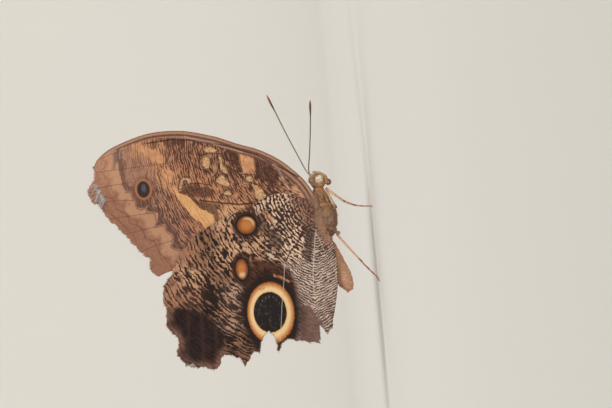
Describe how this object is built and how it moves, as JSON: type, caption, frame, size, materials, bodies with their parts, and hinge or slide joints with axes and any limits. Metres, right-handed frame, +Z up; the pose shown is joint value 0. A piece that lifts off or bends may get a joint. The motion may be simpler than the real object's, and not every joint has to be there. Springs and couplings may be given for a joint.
{
  "type": "owl butterfly",
  "caption": "Life-size still model of an owl butterfly at rest, wings closed over its back, standing on its four walking legs.",
  "frame": {"origin": "on the floor, below the middle of the bounding box", "axes": "+X forwards, towards the head and feelers; +Z up, towards the wing tips; the wings close onto the XZ plane and the right wings are on the -Y side"},
  "size_m": [0.0834, 0.0234, 0.088],
  "materials": {
    "forewing": "fine scales, matt, tan with dark ripples",
    "hindwing": "fine scales, matt, brown with cream ripples and ringed eyespots",
    "thorax": "dense short hair, grey brown",
    "abdomen": "short hair, pinkish tan",
    "head": "short hair, brown",
    "eye": "smooth facets, cream grey",
    "palp": "short hair, tan",
    "proboscis": "bare, dark brown",
    "antenna": "bare, olive grey with a red brown club",
    "leg": "fine scales, tan"
  },
  "bodies": {
    "root": {"head": "head", "thorax": "thorax", "abdomen": "abdomen", "proboscis": "proboscis", "eye_right": "eye", "palp_right": "palp", "antenna_right": "antenna", "forewing_right": "forewing", "hindwing_right": "hindwing", "foreleg_right": "leg", "midleg_right": "leg", "hindleg_right": "leg", "eye_left": "eye", "palp_left": "palp", "antenna_left": "antenna", "forewing_left": "forewing", "hindwing_left": "hindwing", "foreleg_left": "leg", "midleg_left": "leg", "hindleg_left": "leg"}
  },
  "joints": []
}
